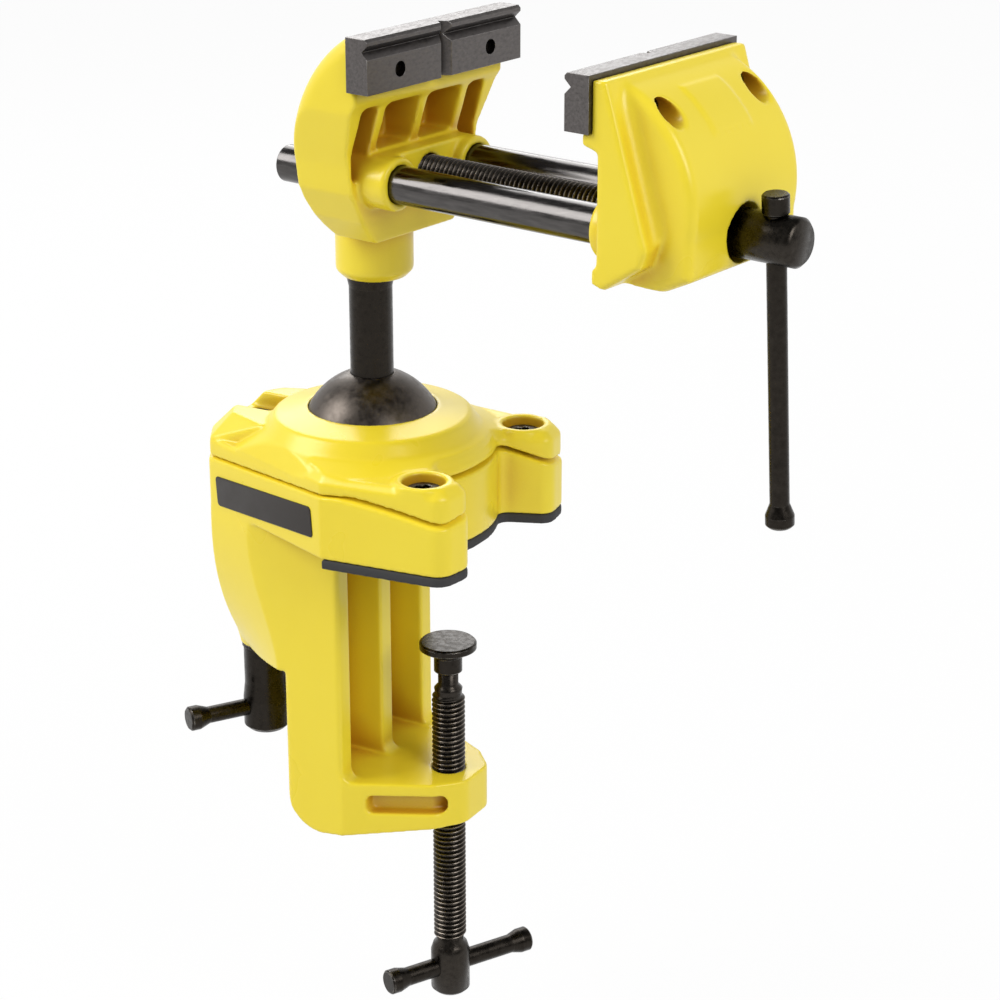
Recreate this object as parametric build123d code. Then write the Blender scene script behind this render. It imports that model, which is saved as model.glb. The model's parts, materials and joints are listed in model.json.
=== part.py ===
from build123d import *
import math
import os

# Multi-angle bench vise, in millimetres, +Z up, +X towards the bench edge and the handle.
# The origin lies on the bench, on the axis of the clamp screw. Pieces are drawn with X measured
# from the upright axis of the ball, and the last step moves them to the origin.

# Setting of the head and the handles
head_turn = -8.5  # swing of the jaws about the ball axis, degrees
lead_bar_lean = 5.2  # lean of the hanging handle about the lead screw, degrees
clamp_bar_turn = 62.0  # direction of the clamp handle in plan, degrees
clamp_bar_slide = 3.5  # clamp handle pushed through its boss
lock_bar_turn = 57.5  # direction of the lock handle in plan, degrees
lock_bar_slide = -2.0  # lock handle pushed through its nut

# Clearances
run_gap = 0.05  # radial, of a turning or sliding fit
fit_gap = 0.02  # radial, of a piece pressed into its hole
free_gap = 0.3  # between pieces that only pass each other
hole_slack = 0.3  # radial, of a plain screw hole
same_point = 0.02  # points nearer than this are one corner

# Ball joint
ball_radius = 24.3
ball_height = 26.6  # ball centre above the underside of the casting
mouth_rise = 12.1  # rim of the cap's mouth above the ball centre
post_radius = 7.2
post_sink = 4.0  # foot of the post below the ball centre
post_flare = 0.9
post_flare_height = 4.0
seat_radius = 20.0
seat_bore = 14.0
seat_floor = 4.5  # casting left under the seat

# Head block of the clamp, in plan from the ball axis
rubber_thickness = 3.5
block_height = 21.4  # at the flank corners
parting_tilt = 4.2  # parting plane drops towards the tail, degrees
cone_height = 22.9  # parting surface at the notch
cone_angle = 16.7  # parting surface falls away from the ball, degrees
cap_gap = 0.6  # clamping gap between casting and cap, at the flanks
cap_gap_lobes = 1.5  # and at the lobes
screw_reach = 28.6  # ball axis to clamp screw axis
tail_margin = 10.8  # casting behind the lock bolt
tail_half = 12.2
shoulder_margin = 4.9
shoulder_half = 22.0
flank_reach = 8.0
flank_half = 45.5
lobe_side_margin = 12.0  # lobe past the cap screw
lobe_side_half = 40.7
lobe_front_margin = 14.3
lobe_front_half = 26.4
notch_radius = 42.1
notch_half = 19.7
lobe_corner = 6.5
lobe_tip = 5.0
notch_corner = 3.5
shoulder_corner = 3.0

# Pillar and foot of the clamp
pillar_front = 3.9
pillar_back = 19.0
pillar_half = 30.3
pillar_wall = 7.3
pillar_rib = 7.0
pillar_web = 6.0
pillar_corner = 2.5
pillar_edge = 1.5
pocket_corner = 2.5
throat = 85.5  # bench to foot
foot_height = 21.3
foot_nose_height = 16.0
heel_radius = 14.0
throat_corner = 4.0
foot_cheek_reach = 32.0
foot_cheek_half = 16.0
foot_nose_reach = 40.0
foot_nose_half = 7.5
foot_corner = 6.0
foot_slot_start = 11.0
foot_slot_end = 35.0
foot_slot_height = 6.5
foot_slot_drop = 4.5
foot_slot_depth = 4.5
foot_slot_corner = 2.2

# Gusset and lock at the back of the clamp
lock_reach = 47.5
lock_boss_drop = 54.5  # seat of the lock washer below the bench
lock_boss_radius = 8.4
gusset_rise = 6.0  # lower edge of the gusset rises this much to the pillar
gusset_upper_drop = 10.0
gusset_waist_drop = 31.0
gusset_waist_side = 25.0
gusset_waist_shoulder = 4.5  # behind the lock bolt
gusset_waist_half = 18.0
gusset_waist_tail = 9.5
gusset_waist_tail_half = 9.5
gusset_low_side = 21.0
lock_bolt_radius = 4.0
lock_head_flats = 13.0
lock_head_sides = 6
lock_head_height = 5.0
lock_bolt_tip = 17.0  # thread of the bolt inside the nut
lock_washer_radius = 8.0
lock_washer_thickness = 1.2
lock_nut_radius = 7.5
lock_nut_belly = 8.2
lock_nut_height = 32.2
lock_bar_height = 8.7  # handle axis above the foot of the nut
lock_bar_radius = 3.0
lock_bar_length = 56.0
lock_knob_radius = 4.4

# Ball cap
cap_inset = 0.5  # cap outline inside the casting's
cap_shoulder_height = 24.0
cap_rise = 7.3  # foot of the ring above the shoulder
cap_edge = 1.5
cap_draft = 2.5  # run of the steep flanks over that height
skirt_run = 9.5  # run of the skirt under the ring
ridge_rise = 8.3
ridge_run = 8.0
ridge_front = 30.0  # ridges start this far behind the ball axis
cap_flank_end = 20.0  # where the dome leaves the flank for the notch
table_fall = 22.0  # slope from the foot of the ring down to the lobes, degrees
table_rise = 3.8  # top of the lobes above the shoulder where the flank ends
table_tilt = 1.3  # and rises towards the lobes, degrees
table_wall = 2.0  # upright edge of the lobes above the shoulder
table_edge_height = 2.8
table_edge_slope = 42.0  # slope of the bevel round the lobes, degrees from upright
ring_foot_radius = 36.5
ring_edge_radius = 33.0
ring_edge_round = 1.5
ring_edge_drop = 2.4  # outer edge of the ring below the mouth
channel_half = 7.5
channel_drop = 5.5  # floor of the rear channel below the ridges
lobe_boss_rise = 5.2
lobe_boss_radius = 9.6
lobe_boss_draft = 1.4
lobe_boss_edge = 0.8
cap_screw_reach = 39.5
cap_screw_half = 32.3
cap_screw_radius = 3.0
cap_screw_length = 14.0  # thread in the casting
cap_screw_head_radius = 5.9
cap_screw_head_height = 2.1
cap_screw_head_edge = 0.8
cap_screw_bore = 7.0
cap_screw_seat = 4.9  # seat of the screw below the boss
recess_width = 1.3
recess_reach = 3.2
recess_depth = 1.4

# Clamp screw
clamp_pad_drop = 38.2  # pad below the bench
clamp_pad_radius = 9.8
clamp_pad_rim = 2.4
clamp_pad_edge = 0.6
clamp_pad_cone = 2.9
clamp_collar_radius = 4.85
clamp_collar_height = 5.5
clamp_pad_skin = 2.2  # pad left above the pivot
clamp_neck_radius = 3.5
clamp_neck_length = 5.0
clamp_cone = 2.4
clamp_thread_radius = 5.6
clamp_screw_length = 135.6  # pad face to the foot of the boss
clamp_boss_radius = 6.9
clamp_boss_height = 20.0
clamp_boss_cone = 4.0
clamp_bar_radius = 3.35
clamp_bar_length = 58.0
clamp_knob_radius = 4.4
knob_length = 7.5
knob_swell = 3.7  # length at full width

# Head: heights from the lead screw, depths from the ball axis
head_rise = 95.1  # ball centre to lead screw
screw_drop = 48.3  # lead screw below the top of the jaws
jaw_width = 75.0
jaw_opening = 74.0
plate_setback = 33.0  # ball axis to the gripping face of the fixed jaw
plate_height = 17.0
plate_thickness = 8.6
lip_height = 1.9
lip_edge = 0.9
groove_low = 6.2
groove_mid = 4.0
groove_depth = 2.2
v_width = 5.0
v_depth = 3.4
plate_screw_half = 22.0
plate_screw_drop = 11.0
plate_screw_radius = 2.4
plate_screw_length = 14.0
plate_screw_head_radius = 3.6
plate_screw_head_height = 3.2
plate_hole_skin = 2.0  # screw tip behind the gripping face
access_radius = 4.0

# Fixed jaw casting
casting_half = 36.0
crown_drop = 1.5
crown_depth = 5.0
back_depth = 27.8  # deepest point of the back behind the plate
back_height = 6.0  # of that point above the lead screw
back_bulge_depth = 22.6
back_bulge_height = 28.1
back_low_depth = 27.2
back_low_drop = 8.0
back_corner = 6.5
chin_drop = 20.7
chin_front = 20.0
chin_heel_depth = 24.4
chin_heel_drop = 17.0
chin_back = 2.5
chin_half = 19.4
jowl_drop = 13.0
jowl_half = 25.5
cheek_low_drop = 3.0
cheek_low_half = 30.5
cheek_rise = 6.0
cheek_half = 31.8
rib_front = 19.5
rib_lean = 4.8
ledge_reach = 26.5
ledge_height = 4.3
ledge_chamfer = 3.0
ledge_edge = 1.0
socket_radius = 12.8
socket_drop = 38.0
socket_edge = 2.5
socket_shift = 2.0  # socket is thicker in front of the post
hub_rise = 9.0  # hub continues above the lead screw before its dome
post_in_socket = 27.5
front_pocket_low = 9.5
side_pocket_low = 1.0
front_pocket_high = 25.0
front_pocket_depth = 11.0
front_rib = 3.6
front_rib_half = 20.2
front_pocket_half = 29.8
front_pocket_corner = 2.0
collar_radius = 8.6
collar_front = 30.0
collar_edge = 1.2
bridge_front = 26.0

# Guide rods and lead screw
rod_radius = 6.0
rod_edge = 0.8
rod_half = 19.0
rod_tail = 18.0  # rods behind the ball axis with the jaws as drawn
rod_seat = 14.0  # rods inside the moving jaw
rod_pin_radius = 1.5
rod_pin_rise = 4.0
lead_radius = 5.5
lead_tail = 12.0
lead_journal_radius = 4.9
lead_nut_radius = 8.8
lead_nut_rear = 13.5
lead_nut_front = 12.0
lead_boss_radius = 7.5
lead_boss_end = 49.2  # behind the moving plate
lead_boss_edge = 1.2
lead_bar_inset = 9.0  # handle axis from the end of the boss
lead_bore_radius = 9.0
lead_shoulder = 20.0  # floor of the bore behind the moving plate
lead_washer_radius = 8.6
lead_washer_thickness = 1.5
lead_ring_radius = 6.4
lead_ring_thickness = 1.2
lead_ring_groove = 0.9
lead_bar_radius = 3.05
lead_bar_length = 105.6
lead_cap_radius = 4.1
lead_cap_height = 6.2
lead_cap_socket = 4.0
lead_knob_radius = 4.5

# Moving jaw casting, depths behind the moving plate
barrel_half = 28.5
barrel_start_depth = 3.6
barrel_start_drop = 2.6
barrel_mid_depth = 24.3
barrel_mid_drop = 18.3
barrel_depth = 29.4
barrel_depth_drop = 46.0
barrel_foot_rise = 4.5  # foot of the barrel above its belly
barrel_corner = 3.0
barrel_blend = 4.0  # hollow between barrel and flange
barrel_foot_edge = 2.0
belly_depth = 20.0
belly_fall = 1.0  # belly of the barrel below the lip
flange_top = 4.5
flange_knee_depth = 19.2
flange_knee_drop = 48.5
flange_heel_depth = 17.2
flange_heel_fall = 5.5  # heel below the knee
flange_sole_depth = 4.5
flange_sole_fall = 8.4  # sole below the heel
flange_face = 1.5
flange_corner = 1.5
lip_reach = 1.2
lip_rise = 1.4  # underside of the lip above the sole
lip_thickness = 4.0
moving_ledge = 3.5
moving_ledge_height = 3.6
rod_boss_radius = 10.0
rod_boss_reach = 6.5
rod_boss_edge = 1.5
panel_half = 9.5
panel_top_drop = 6.0
panel_foot_drop = 18.0
panel_rise = 0.4

# Heights and places that follow from the sizes above
tail_reach = lock_reach + tail_margin
shoulder_reach = lock_reach + shoulder_margin
lobe_side_reach = cap_screw_reach + lobe_side_margin
lobe_front_reach = cap_screw_reach + lobe_front_margin
block_low = rubber_thickness
block_top = block_low + cone_height
cap_shoulder = block_low + cap_shoulder_height
cap_top = cap_shoulder + cap_rise
ridge_top = cap_shoulder + ridge_rise
ball_z = block_low + ball_height
mouth_z = ball_z + mouth_rise
mouth_radius = math.sqrt(ball_radius**2 - mouth_rise**2)
foot_top = -throat
foot_low = foot_top - foot_height
notch_reach = math.sqrt(notch_radius**2 - notch_half**2)
channel_floor = ridge_top - channel_drop
lobe_boss_top = cap_shoulder + lobe_boss_rise
cap_screw_floor = lobe_boss_top - cap_screw_seat
lock_seat = -lock_boss_drop
lock_nut_top = lock_seat - lock_washer_thickness
lock_nut_low = lock_nut_top - lock_nut_height
lock_bar_z = lock_nut_low + lock_bar_height
clamp_pad_top = -clamp_pad_drop
clamp_pad_low = clamp_pad_top - clamp_pad_rim - clamp_pad_cone - clamp_collar_height
clamp_thread_top = clamp_pad_low - clamp_neck_length - clamp_cone
clamp_screw_low = clamp_pad_top - clamp_screw_length
clamp_bar_z = clamp_screw_low + clamp_boss_height / 2
screw_z = ball_z + head_rise
jaw_top = screw_z + screw_drop
plate_low = jaw_top - plate_height
plate_screw_z = jaw_top - plate_screw_drop
plate_back = plate_setback - plate_thickness
flange_heel_drop = flange_knee_drop + flange_heel_fall
flange_sole_drop = flange_heel_drop + flange_sole_fall
lip_drop = flange_sole_drop - lip_rise
belly_drop = lip_drop + belly_fall
barrel_foot_drop = belly_drop - barrel_foot_rise
moving_face = plate_setback + jaw_opening
moving_back = moving_face + plate_thickness
socket_low = screw_z - socket_drop
post_top = socket_low + post_in_socket
lead_bar_x = moving_back + lead_boss_end - lead_bar_inset
lead_cap_low = screw_z + lead_boss_radius
lead_bar_top = lead_cap_low + lead_cap_height
lead_bar_low = lead_bar_top - lead_bar_length


# Small helpers
def bar_x(radius, start, end, y, z):
    """Round bar along X."""
    return Pos((start + end) / 2, y, z) * Rot(0, 90, 0) * Cylinder(radius, end - start)


def bar_z(radius, low, high, x=0, y=0):
    """Round bar along Z."""
    return Pos(x, y, (low + high) / 2) * Cylinder(radius, high - low)


def block(x_range, y_range, z_range):
    """Box between two corners."""
    lows, highs = zip(x_range, y_range, z_range)
    centre = [(a + b) / 2 for a, b in zip(lows, highs)]
    return Pos(*centre) * Box(*[b - a for a, b in zip(lows, highs)])


def turned(outline):
    """Solid turned about Z from (radius, height) points."""
    return revolve(Plane.XZ * make_face(Polyline(*outline, close=True)), Axis.Z)


def across(curve, half_width):
    """Side profile (x, z) carried across the vise to both sides."""
    return extrude(Plane.XZ * make_face(curve), half_width, both=True)


def round_corners(face, corners, radius):
    """Rounds the corners of a plan that lie at the given points, on both sides."""
    wanted = [(x, side * y) for x, y in corners for side in (1, -1)]
    near = [v for v in face.vertices() if any(math.dist((v.X, v.Y), p) < same_point for p in wanted)]
    return fillet(near, radius)


def rim(piece, radius, level):
    """Round edges of a turned piece at one radius and height."""
    rounds = piece.edges().filter_by(GeomType.CIRCLE)
    at_level = rounds.filter_by_position(Axis.Z, level - same_point, level + same_point)
    return [edge for edge in at_level if abs(edge.radius - radius) < same_point]


def outer_edges(prism, half, start):
    """Edges on the two end faces of a prism across the vise that lie wholly behind a plane."""
    found = []
    for edge in prism.edges():
        box = edge.bounding_box()
        on_end = min(abs(box.min.Y), abs(box.max.Y)) > half - same_point
        one_side = box.max.Y - box.min.Y < same_point
        if on_end and one_side and box.min.X > start - same_point:
            found.append(edge)
    return found


def both_sides(half):
    """Mirrors half an outline over the X axis, in order round the shape."""
    return half + [(x, -y) for x, y in reversed(half)]


# Bench clamp
def block_plan():
    """Plan of the clamp head: blunt tail, flared flanks, two lobes and the notch between them."""
    half = [
        (-tail_reach, tail_half),
        (-shoulder_reach, shoulder_half),
        (flank_reach, flank_half),
        (lobe_side_reach, lobe_side_half),
        (lobe_front_reach, lobe_front_half),
        (notch_reach, notch_half),
    ]
    near = [(x, -y) for x, y in half]
    edge = Polyline(*half) + Polyline(*near) + Line(half[0], near[0])
    face = make_face(edge + ThreePointArc(half[-1], (notch_radius, 0), near[-1]))
    face = round_corners(face, [half[3]], lobe_corner)
    face = round_corners(face, [half[4]], lobe_tip)
    face = round_corners(face, [half[5]], notch_corner)
    return round_corners(face, [half[0], half[1]], shoulder_corner)


def parting(lift, cone_lift):
    """All that lies under the parting surface: a tilted plane that falls off in a cone."""
    reach = tail_reach + lobe_front_reach
    level = block_low + block_height + lift
    tilt = math.tan(math.radians(parting_tilt))
    fall = math.tan(math.radians(cone_angle))
    cone_top = block_top + cone_lift
    cone_rim = notch_radius + (cone_top - block_low) / fall
    wedge = Polyline(
        (-reach, block_low),
        (-reach, level - (reach + flank_reach) * tilt),
        (reach, level + (reach - flank_reach) * tilt),
        (reach, block_low),
        close=True,
    )
    cone = turned([(0, block_low), (cone_rim, block_low), (0, cone_top + notch_radius * fall)])
    return across(wedge, reach) & cone


def pillar_and_foot():
    """C-frame: upright pillar with rounded heel, and a foot that narrows round the clamp screw."""
    top = (block_low + block_top) / 2
    heel_end = (-pillar_back, foot_low + heel_radius)
    heel_start = (-pillar_back + heel_radius, foot_low)
    heel_mid = (
        -pillar_back + heel_radius * (1 - math.sqrt(0.5)),
        foot_low + heel_radius * (1 - math.sqrt(0.5)),
    )
    edge = Polyline(
        heel_end,
        (-pillar_back, top),
        (pillar_front, top),
        (pillar_front, foot_top),
        (foot_nose_reach, foot_top),
        (foot_nose_reach, foot_top - foot_nose_height),
        heel_start,
    )
    frame = across(edge + ThreePointArc(heel_start, heel_mid, heel_end), pillar_half)
    throat_edge = frame.edges().filter_by(Axis.Y).filter_by_position(
        Axis.Z, foot_top - same_point, foot_top + same_point
    )
    frame = fillet(throat_edge.sort_by(Axis.X)[0], throat_corner)
    frame &= Pos(0, 0, foot_low) * extrude(foot_plan(), top - foot_low)
    front = (pillar_front - same_point, pillar_front + same_point)
    uprights = frame.edges().filter_by(Axis.Z).filter_by_position(Axis.X, *front)
    return fillet([edge for edge in uprights if edge.center().Z > foot_top], pillar_edge)


def foot_plan():
    """Plan of pillar and foot."""
    half = [
        (-pillar_back, pillar_half),
        (pillar_front, pillar_half),
        (foot_cheek_reach, foot_cheek_half),
        (foot_nose_reach, foot_nose_half),
    ]
    face = make_face(Polyline(*both_sides(half), close=True))
    face = round_corners(face, half[:1], pillar_corner)
    return round_corners(face, half[2:], foot_corner)


def foot_slots():
    """Recess along each side of the foot, between its upper and lower flange."""
    low = foot_top - foot_slot_drop - foot_slot_height
    core = offset(foot_plan(), -foot_slot_depth, kind=Kind.INTERSECTION)
    skin = Pos(0, 0, low) * (extrude(foot_plan(), foot_slot_height) - extrude(core, foot_slot_height))
    high = low + foot_slot_height
    reach = block((foot_slot_start, foot_slot_end), (-pillar_half, pillar_half), (low, high))
    reach = fillet(reach.edges().filter_by(Axis.Y), foot_slot_corner)
    nose = block((foot_slot_start, foot_slot_end), (-foot_nose_half, foot_nose_half), (low, foot_top))
    return skin & reach - nose


def pillar_pockets():
    """The two upright pockets in the front of the pillar, either side of the central rib."""
    inner = pillar_rib / 2
    outer = pillar_half - pillar_wall
    back = -pillar_back + pillar_web
    pockets = Part()
    for side in (1, -1):
        span = sorted((side * inner, side * outer))
        pocket = block((back, foot_cheek_reach), span, (foot_top, block_low))
        corners = pocket.edges().filter_by(Axis.Z).sort_by(Axis.X)[:2]
        pockets += fillet(corners, pocket_corner)
    return pockets


def gusset():
    """Swept back of the clamp, from the head block down to the lock boss and the pillar."""
    run = (pillar_half - shoulder_half) * (flank_reach + shoulder_reach) / (flank_half - shoulder_half)
    root = (0, pillar_half)
    upper = [
        root,
        (run - shoulder_reach, pillar_half),
        (-shoulder_reach, shoulder_half),
        (-tail_reach, tail_half),
    ]
    waist = [
        root,
        (-gusset_waist_side, pillar_half),
        (-lock_reach - gusset_waist_shoulder, gusset_waist_half),
        (-lock_reach - gusset_waist_tail, gusset_waist_tail_half),
    ]
    turn = lock_boss_radius * math.sqrt(0.5)
    lower = [
        root,
        (-gusset_low_side, pillar_half),
        (-lock_reach, lock_boss_radius),
        (-lock_reach - turn, turn),
    ]
    levels = [block_low, -gusset_upper_drop, -gusset_waist_drop, lock_seat]
    faces = []
    for level, half in zip(levels, (upper, upper, waist, lower)):
        faces.append(Pos(0, 0, level) * make_face(Polyline(*both_sides(half), close=True)))
    under = Polyline(
        (-lock_reach, lock_seat),
        (0, lock_seat + gusset_rise * lock_reach / (lock_reach - pillar_back)),
        (0, foot_top),
        (-lock_reach, foot_top),
        close=True,
    )
    web = loft(faces) - across(under, flank_half)
    return web + bar_z(lock_boss_radius, lock_seat, block_low, -lock_reach)


def clamp_body():
    """Clamp casting with the bowl of the ball joint and all its holes."""
    head = Pos(0, 0, block_low) * extrude(block_plan(), cone_height) & parting(0, 0)
    body = head + (pillar_and_foot() - pillar_pockets()) + (gusset() - pillar_pockets())
    body -= foot_slots()
    body -= Pos(0, 0, ball_z) * Sphere(ball_radius + free_gap)
    body -= bar_z(seat_radius + run_gap, block_low + seat_floor, block_top)
    body -= bar_z(lock_bolt_radius + hole_slack, lock_seat, block_top, -lock_reach)
    body -= bar_z(clamp_thread_radius + run_gap, foot_low, foot_top, screw_reach)
    hole_low = block_top - cap_screw_length
    for side in (1, -1):
        y = side * cap_screw_half
        body -= bar_z(cap_screw_radius + fit_gap, hole_low, block_top, cap_screw_reach, y)
    return body


def bench_pad():
    """Rubber pad under the lobes, cut to the outline of the head block."""
    front = block((flank_reach, lobe_front_reach), (-flank_half, flank_half), (0, rubber_thickness))
    return extrude(block_plan(), rubber_thickness) & front


def ball_seat():
    """Ring in the bowl that the ball rests on."""
    low = block_low + seat_floor
    ring = bar_z(seat_radius, low, ball_z) - bar_z(seat_bore, low, ball_z)
    return ring - Pos(0, 0, ball_z) * Sphere(ball_radius + run_gap)


def dome_plan():
    """Plan of the cap's dome: the head block without its lobes."""
    half = [
        (-tail_reach, tail_half),
        (-shoulder_reach, shoulder_half),
        (flank_reach, flank_half),
        (cap_flank_end, flank_half),
        (notch_reach, notch_half),
    ]
    near = [(x, -y) for x, y in half]
    edge = Polyline(*half) + Polyline(*near) + Line(half[0], near[0])
    face = make_face(edge + ThreePointArc(half[-1], (notch_radius, 0), near[-1]))
    return offset(face, -cap_inset, kind=Kind.INTERSECTION)


def mouth_ring():
    """Raised ring round the mouth, sloping away from the ball."""
    edge_z = mouth_z - ring_edge_drop
    ring = turned(
        [
            (0, cap_shoulder),
            (ring_edge_radius, cap_shoulder),
            (ring_foot_radius, cap_top),
            (ring_edge_radius, edge_z),
            (mouth_radius, mouth_z),
            (0, mouth_z),
        ]
    )
    return fillet(rim(ring, ring_edge_radius, edge_z), ring_edge_round)


def skirt():
    """Cone under the ring."""
    foot = ring_foot_radius + skirt_run
    return turned([(0, cap_shoulder), (foot, cap_shoulder), (ring_foot_radius, cap_top), (0, cap_top)])


def dome(run, top):
    """The dome's plan, drawn in towards its top."""
    crest = offset(dome_plan(), -run, kind=Kind.INTERSECTION)
    return loft([Pos(0, 0, cap_shoulder) * dome_plan(), Pos(0, 0, top) * crest], ruled=True)


def lobe_table():
    """Top of the lobes: a slope down from the ring on to a nearly level table with a bevelled edge."""
    reach = tail_reach + lobe_front_reach
    fall = math.tan(math.radians(table_fall))
    tilt = math.tan(math.radians(table_tilt))
    level = cap_shoulder + table_rise
    wall = cap_shoulder + table_wall
    run = (cap_top - cap_shoulder) / fall
    slope = turned(
        [
            (0, block_low),
            (ring_foot_radius + run, block_low),
            (ring_foot_radius + run, cap_shoulder),
            (ring_foot_radius, cap_top),
            (0, cap_top),
        ]
    )
    table = Polyline(
        (-flank_reach, block_low),
        (-flank_reach, cap_shoulder),
        (flank_reach, level),
        (lobe_front_reach, level + (lobe_front_reach - flank_reach) * tilt),
        (lobe_front_reach, block_low),
        close=True,
    )
    slope &= block((0, lobe_front_reach), (-reach, reach), (block_low, mouth_z))
    plan = offset(block_plan(), -cap_inset)
    bevel = table_edge_height * math.tan(math.radians(table_edge_slope))
    core = offset(block_plan(), -cap_inset - bevel, kind=Kind.INTERSECTION)
    roof = Pos(0, 0, wall) * extrude(plan, table_edge_height, taper=table_edge_slope)
    roof += Pos(0, 0, block_low) * extrude(plan, wall - block_low)
    roof += Pos(0, 0, block_low) * extrude(core, mouth_z - block_low)
    return (across(table, reach) + slope) & roof


def lobe_bosses():
    """Low rims round the cap screws."""
    boss = turned(
        [
            (0, cap_shoulder),
            (lobe_boss_radius + lobe_boss_draft, cap_shoulder),
            (lobe_boss_radius, lobe_boss_top),
            (0, lobe_boss_top),
        ]
    )
    boss = fillet(rim(boss, lobe_boss_radius, lobe_boss_top), lobe_boss_edge)
    return [Pos(cap_screw_reach, side * cap_screw_half, 0) * boss for side in (1, -1)]


def ball_cap():
    """Cap over the ball: edge plate, sloping dome, mouth ring, rear channel and screw lobes."""
    plan = offset(block_plan(), -cap_inset)
    limits = Pos(0, 0, block_low) * extrude(plan, mouth_z - block_low)
    plate = Pos(0, 0, block_low) * extrude(plan, cap_shoulder - block_low)
    plate = fillet(plate.edges().group_by(Axis.Z)[-1], cap_edge)
    rear = block((-tail_reach, -ridge_front), (-shoulder_half, shoulder_half), (cap_shoulder, ridge_top))
    raised = (dome(cap_draft, cap_top) & skirt()) + mouth_ring()
    raised += dome(ridge_run, ridge_top) & rear
    raised += lobe_table()
    for boss in lobe_bosses():
        raised += boss
    cap = plate + (raised & limits)
    cap -= parting(cap_gap, cap_gap_lobes)
    channel = (-tail_reach, -ring_foot_radius)
    cap -= block(channel, (-channel_half, channel_half), (channel_floor, ridge_top))
    cap -= Pos(0, 0, ball_z) * Sphere(ball_radius + run_gap)
    head_low = channel_floor - lock_head_height - free_gap
    pocket = RegularPolygon(lock_head_flats / 2 + hole_slack, lock_head_sides, major_radius=False)
    cap -= Pos(-lock_reach, 0, head_low) * extrude(pocket, channel_floor - head_low)
    cap -= bar_z(lock_bolt_radius + hole_slack, block_low, channel_floor, -lock_reach)
    for side in (1, -1):
        y = side * cap_screw_half
        cap -= bar_z(cap_screw_bore, cap_screw_floor, mouth_z, cap_screw_reach, y)
        cap -= bar_z(cap_screw_radius + hole_slack, block_low, mouth_z, cap_screw_reach, y)
    return cap


def cap_screws():
    """The two screws of the cap, with a cross recess."""
    top = cap_screw_floor + cap_screw_head_height
    shank = bar_z(cap_screw_radius, block_top - cap_screw_length, cap_screw_floor)
    head = bar_z(cap_screw_head_radius, cap_screw_floor, top)
    head = fillet(head.edges().sort_by(Axis.Z)[-1], cap_screw_head_edge)
    for x, y in ((recess_reach, recess_width), (recess_width, recess_reach)):
        head -= block((-x, x), (-y, y), (top - recess_depth, top))
    screw = shank + head
    spots = [(cap_screw_reach, side * cap_screw_half) for side in (1, -1)]
    return [Pos(x, y, 0) * screw for x, y in spots]


def tommy_bar(radius, knob_radius, low, high):
    """Handle bar along Z with a forged knob at each end."""
    edge = (knob_radius - radius) / 2
    return turned(
        [
            (0, low),
            (knob_radius - edge, low),
            (knob_radius, low + edge),
            (knob_radius, low + knob_swell),
            (radius, low + knob_length),
            (radius, high - knob_length),
            (knob_radius, high - knob_swell),
            (knob_radius, high - edge),
            (knob_radius - edge, high),
            (0, high),
        ]
    )


def lock_bolt():
    """Bolt whose head sits in the cap's channel and whose thread ends in the nut."""
    head_low = channel_floor - lock_head_height - free_gap
    head = RegularPolygon(lock_head_flats / 2, lock_head_sides, major_radius=False)
    head = Pos(-lock_reach, 0, head_low) * extrude(head, lock_head_height)
    return head + bar_z(lock_bolt_radius, lock_nut_top - lock_bolt_tip, head_low, -lock_reach)


def lock_washer():
    """Flat washer under the lock boss."""
    washer = bar_z(lock_washer_radius, lock_nut_top, lock_seat, -lock_reach)
    return washer - bar_z(lock_bolt_radius + run_gap, lock_nut_top, lock_seat, -lock_reach)


def lock_nut():
    """Long blind nut with a belly round the cross hole of its handle."""
    edge = lock_nut_belly - lock_nut_radius
    nut = turned(
        [
            (0, lock_nut_low),
            (lock_nut_radius - edge, lock_nut_low),
            (lock_nut_belly, lock_nut_low + 2 * edge),
            (lock_nut_belly, lock_bar_z + lock_bar_radius),
            (lock_nut_radius, lock_bar_z + lock_bar_height),
            (lock_nut_radius, lock_nut_top),
            (0, lock_nut_top),
        ]
    )
    nut -= bar_z(lock_bolt_radius + run_gap, lock_nut_top - lock_bolt_tip - free_gap, lock_nut_top)
    half = lock_bar_length / 2
    cross = Rot(0, 0, lock_bar_turn) * bar_x(lock_bar_radius + run_gap, -half, half, 0, lock_bar_z)
    return Pos(-lock_reach, 0, 0) * (nut - cross)


def lock_bar():
    """Handle of the lock nut."""
    half = lock_bar_length / 2
    bar = tommy_bar(lock_bar_radius, lock_knob_radius, lock_bar_slide - half, lock_bar_slide + half)
    return Pos(-lock_reach, 0, lock_bar_z) * Rot(0, 0, lock_bar_turn) * Rot(0, 90, 0) * bar


def clamp_pad():
    """Round pad with its collar, free to turn on the pivot of the clamp screw."""
    rim_low = clamp_pad_top - clamp_pad_rim
    pad = turned(
        [
            (0, clamp_pad_low),
            (clamp_collar_radius, clamp_pad_low),
            (clamp_collar_radius, rim_low - clamp_pad_cone),
            (clamp_pad_radius, rim_low),
            (clamp_pad_radius, clamp_pad_top - clamp_pad_edge),
            (clamp_pad_radius - clamp_pad_edge, clamp_pad_top),
            (0, clamp_pad_top),
        ]
    )
    pad -= bar_z(clamp_neck_radius + run_gap, clamp_pad_low, clamp_pad_top - clamp_pad_skin)
    return Pos(screw_reach, 0, 0) * pad


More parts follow.
